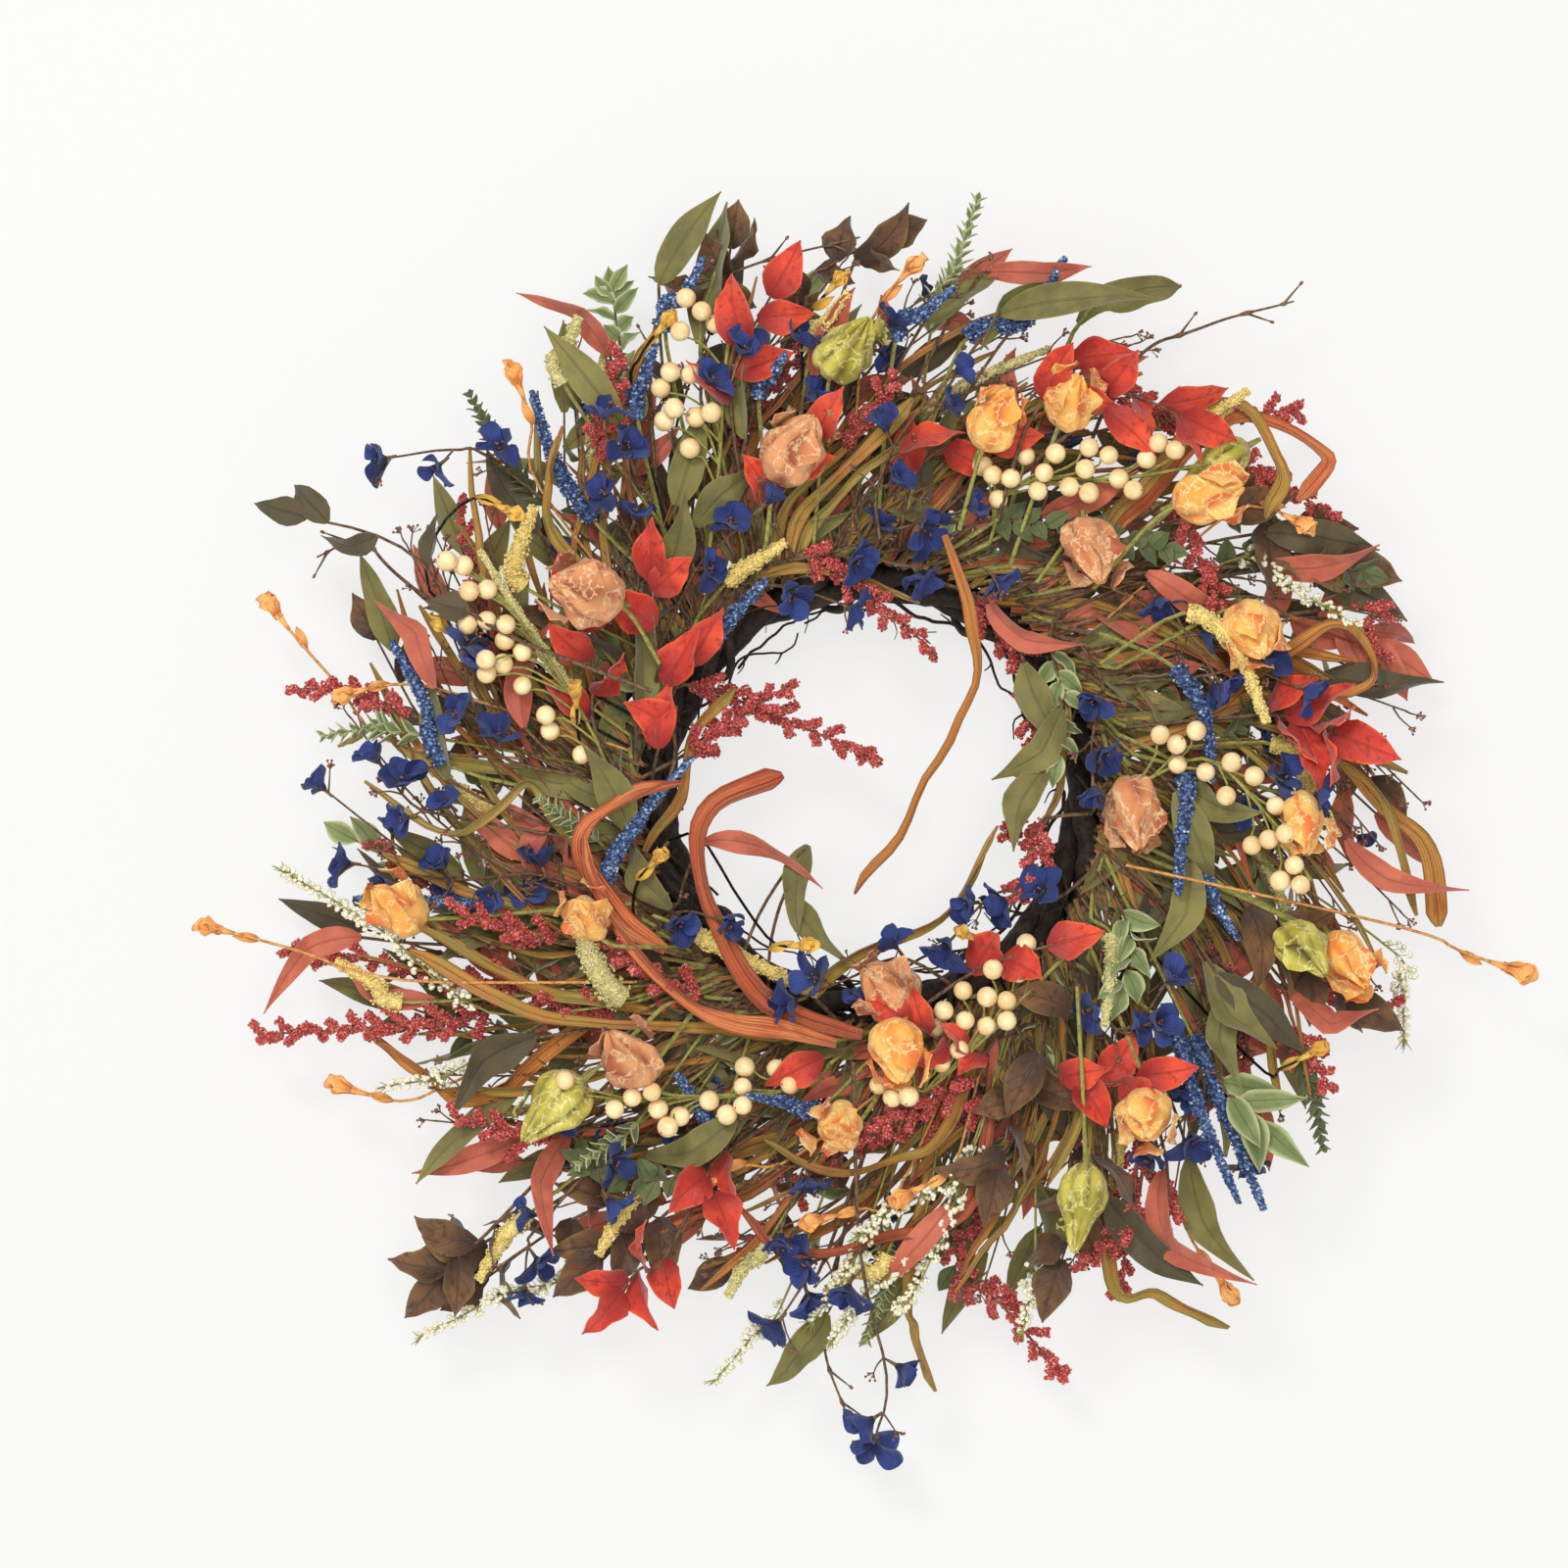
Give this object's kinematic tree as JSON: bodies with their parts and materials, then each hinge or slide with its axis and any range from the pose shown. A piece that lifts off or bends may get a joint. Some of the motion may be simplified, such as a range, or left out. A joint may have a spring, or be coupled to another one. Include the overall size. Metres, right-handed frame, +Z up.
{
  "type": "door wreath",
  "caption": "Round vine wreath dressed with artificial autumn stems, pods, berries, leaves and flowers, on a wire hanging loop it swings from.",
  "frame": {"origin": "the hook point: the inside of the top bend of the hanging loop", "axes": "+Z up as hung, -Y out of the door towards the viewer, +X to the viewer's right"},
  "size_m": [0.6679, 0.1309, 0.654],
  "materials": {
    "vine": "matte",
    "wire": "satin",
    "blue_floret": "matte",
    "red_seed": "matte",
    "yellow_seed": "matte",
    "heather_bell": "matte",
    "cream_berry": "satin",
    "orange_pod": "matte",
    "peach_pod": "matte",
    "green_pod": "satin",
    "grass_ribbon": "matte",
    "red_leaf": "matte",
    "rust_leaf": "matte",
    "brown_leaf": "matte",
    "green_leaf": "matte",
    "olive_leaf": "matte",
    "twig_bark": "matte",
    "orange_blossom": "matte",
    "navy_petal": "matte"
  },
  "bodies": {
    "hanger": {"hanger_loop": "wire"},
    "wreath": {"bare_twig_top_right": "twig_bark", "berries_bottom": "cream_berry", "berries_bottom_right": "cream_berry", "berries_left": "cream_berry", "berries_right": "cream_berry", "berries_top": "cream_berry", "berries_top_right": "cream_berry", "binding_wire_1": "wire", "binding_wire_2": "wire", "binding_wire_3": "wire", "blossom_wire_left": "orange_blossom", "blue_spike_inner_top": "blue_floret", "blue_spike_left": "blue_floret", "blue_spike_left_low": "blue_floret", "blue_spike_left_top": "blue_floret", "blue_spike_right": "blue_floret", "blue_spike_right_high": "blue_floret", "blue_spike_right_low": "blue_floret", "blue_spike_top": "blue_floret", "brown_leaves_low": "brown_leaf", "grass_blade_inner_low": "grass_ribbon", "grass_blade_right": "grass_ribbon", "green_pod_bottom": "green_pod", "green_pod_left": "green_pod", "green_sprig_top": "green_leaf", "hanger_tie": "wire", "heather_left": "heather_bell", "millet_inner_low": "yellow_seed", "millet_left": "yellow_seed", "millet_right": "yellow_seed", "navy_flowers_top": "navy_petal", "olive_leaf_top": "olive_leaf", "olive_leaf_top_right": "olive_leaf", "orange_pod_bottom": "orange_pod", "orange_pod_left": "orange_pod", "orange_pod_right": "orange_pod", "orange_pod_top": "orange_pod", "peach_pod_left": "peach_pod", "peach_pod_top": "peach_pod", "red_leaves_left": "red_leaf", "red_leaves_top_right": "red_leaf", "rust_leaves_right": "rust_leaf", "sorghum_bottom": "red_seed", "sorghum_bottom_right": "red_seed", "sorghum_inner_left": "red_seed", "sorghum_inner_right": "red_seed", "sorghum_left_long": "red_seed", "sorghum_right_low": "red_seed", "sorghum_top_right": "red_seed", "vine_1": "vine", "vine_2": "vine", "vine_3": "vine", "vine_4": "vine", "vine_5": "vine", "wrap_vine": "vine"},
    "brown_twig": {"brown_leaf_twig": "brown_leaf"},
    "right_blossom": {"blossom_wire_right": "orange_blossom"},
    "navy_stem": {"navy_flower_stem": "navy_petal"},
    "centre_blade": {"grass_blade_centre": "grass_ribbon"}
  },
  "joints": [
    {"name": "wreath_swing", "type": "hinge", "parent": "hanger", "child": "wreath", "pos_m": [0, 0, -0.036], "axis": [-1, 0, 0], "range_deg": [0, 25]},
    {"name": "brown_twig_bend", "type": "hinge", "parent": "wreath", "child": "brown_twig", "pos_m": [-0.112, -0.0969, -0.12263], "axis": [0.3752, 0, 0.9269], "range_deg": [0, 20]},
    {"name": "right_blossom_bend", "type": "hinge", "parent": "wreath", "child": "right_blossom", "pos_m": [0.128, -0.0962, -0.21063], "axis": [-0.2198, 0, -0.9755], "range_deg": [0, 20]},
    {"name": "navy_stem_bend", "type": "hinge", "parent": "wreath", "child": "navy_stem", "pos_m": [-0.01, -0.0906, -0.31063], "axis": [-0.9992, 0, -0.04], "range_deg": [0, 20]},
    {"name": "centre_blade_bend", "type": "hinge", "parent": "wreath", "child": "centre_blade", "pos_m": [0.036, -0.0866, -0.04263], "axis": [-0.9439, 0, -0.3304], "range_deg": [0, 20]}
  ]
}
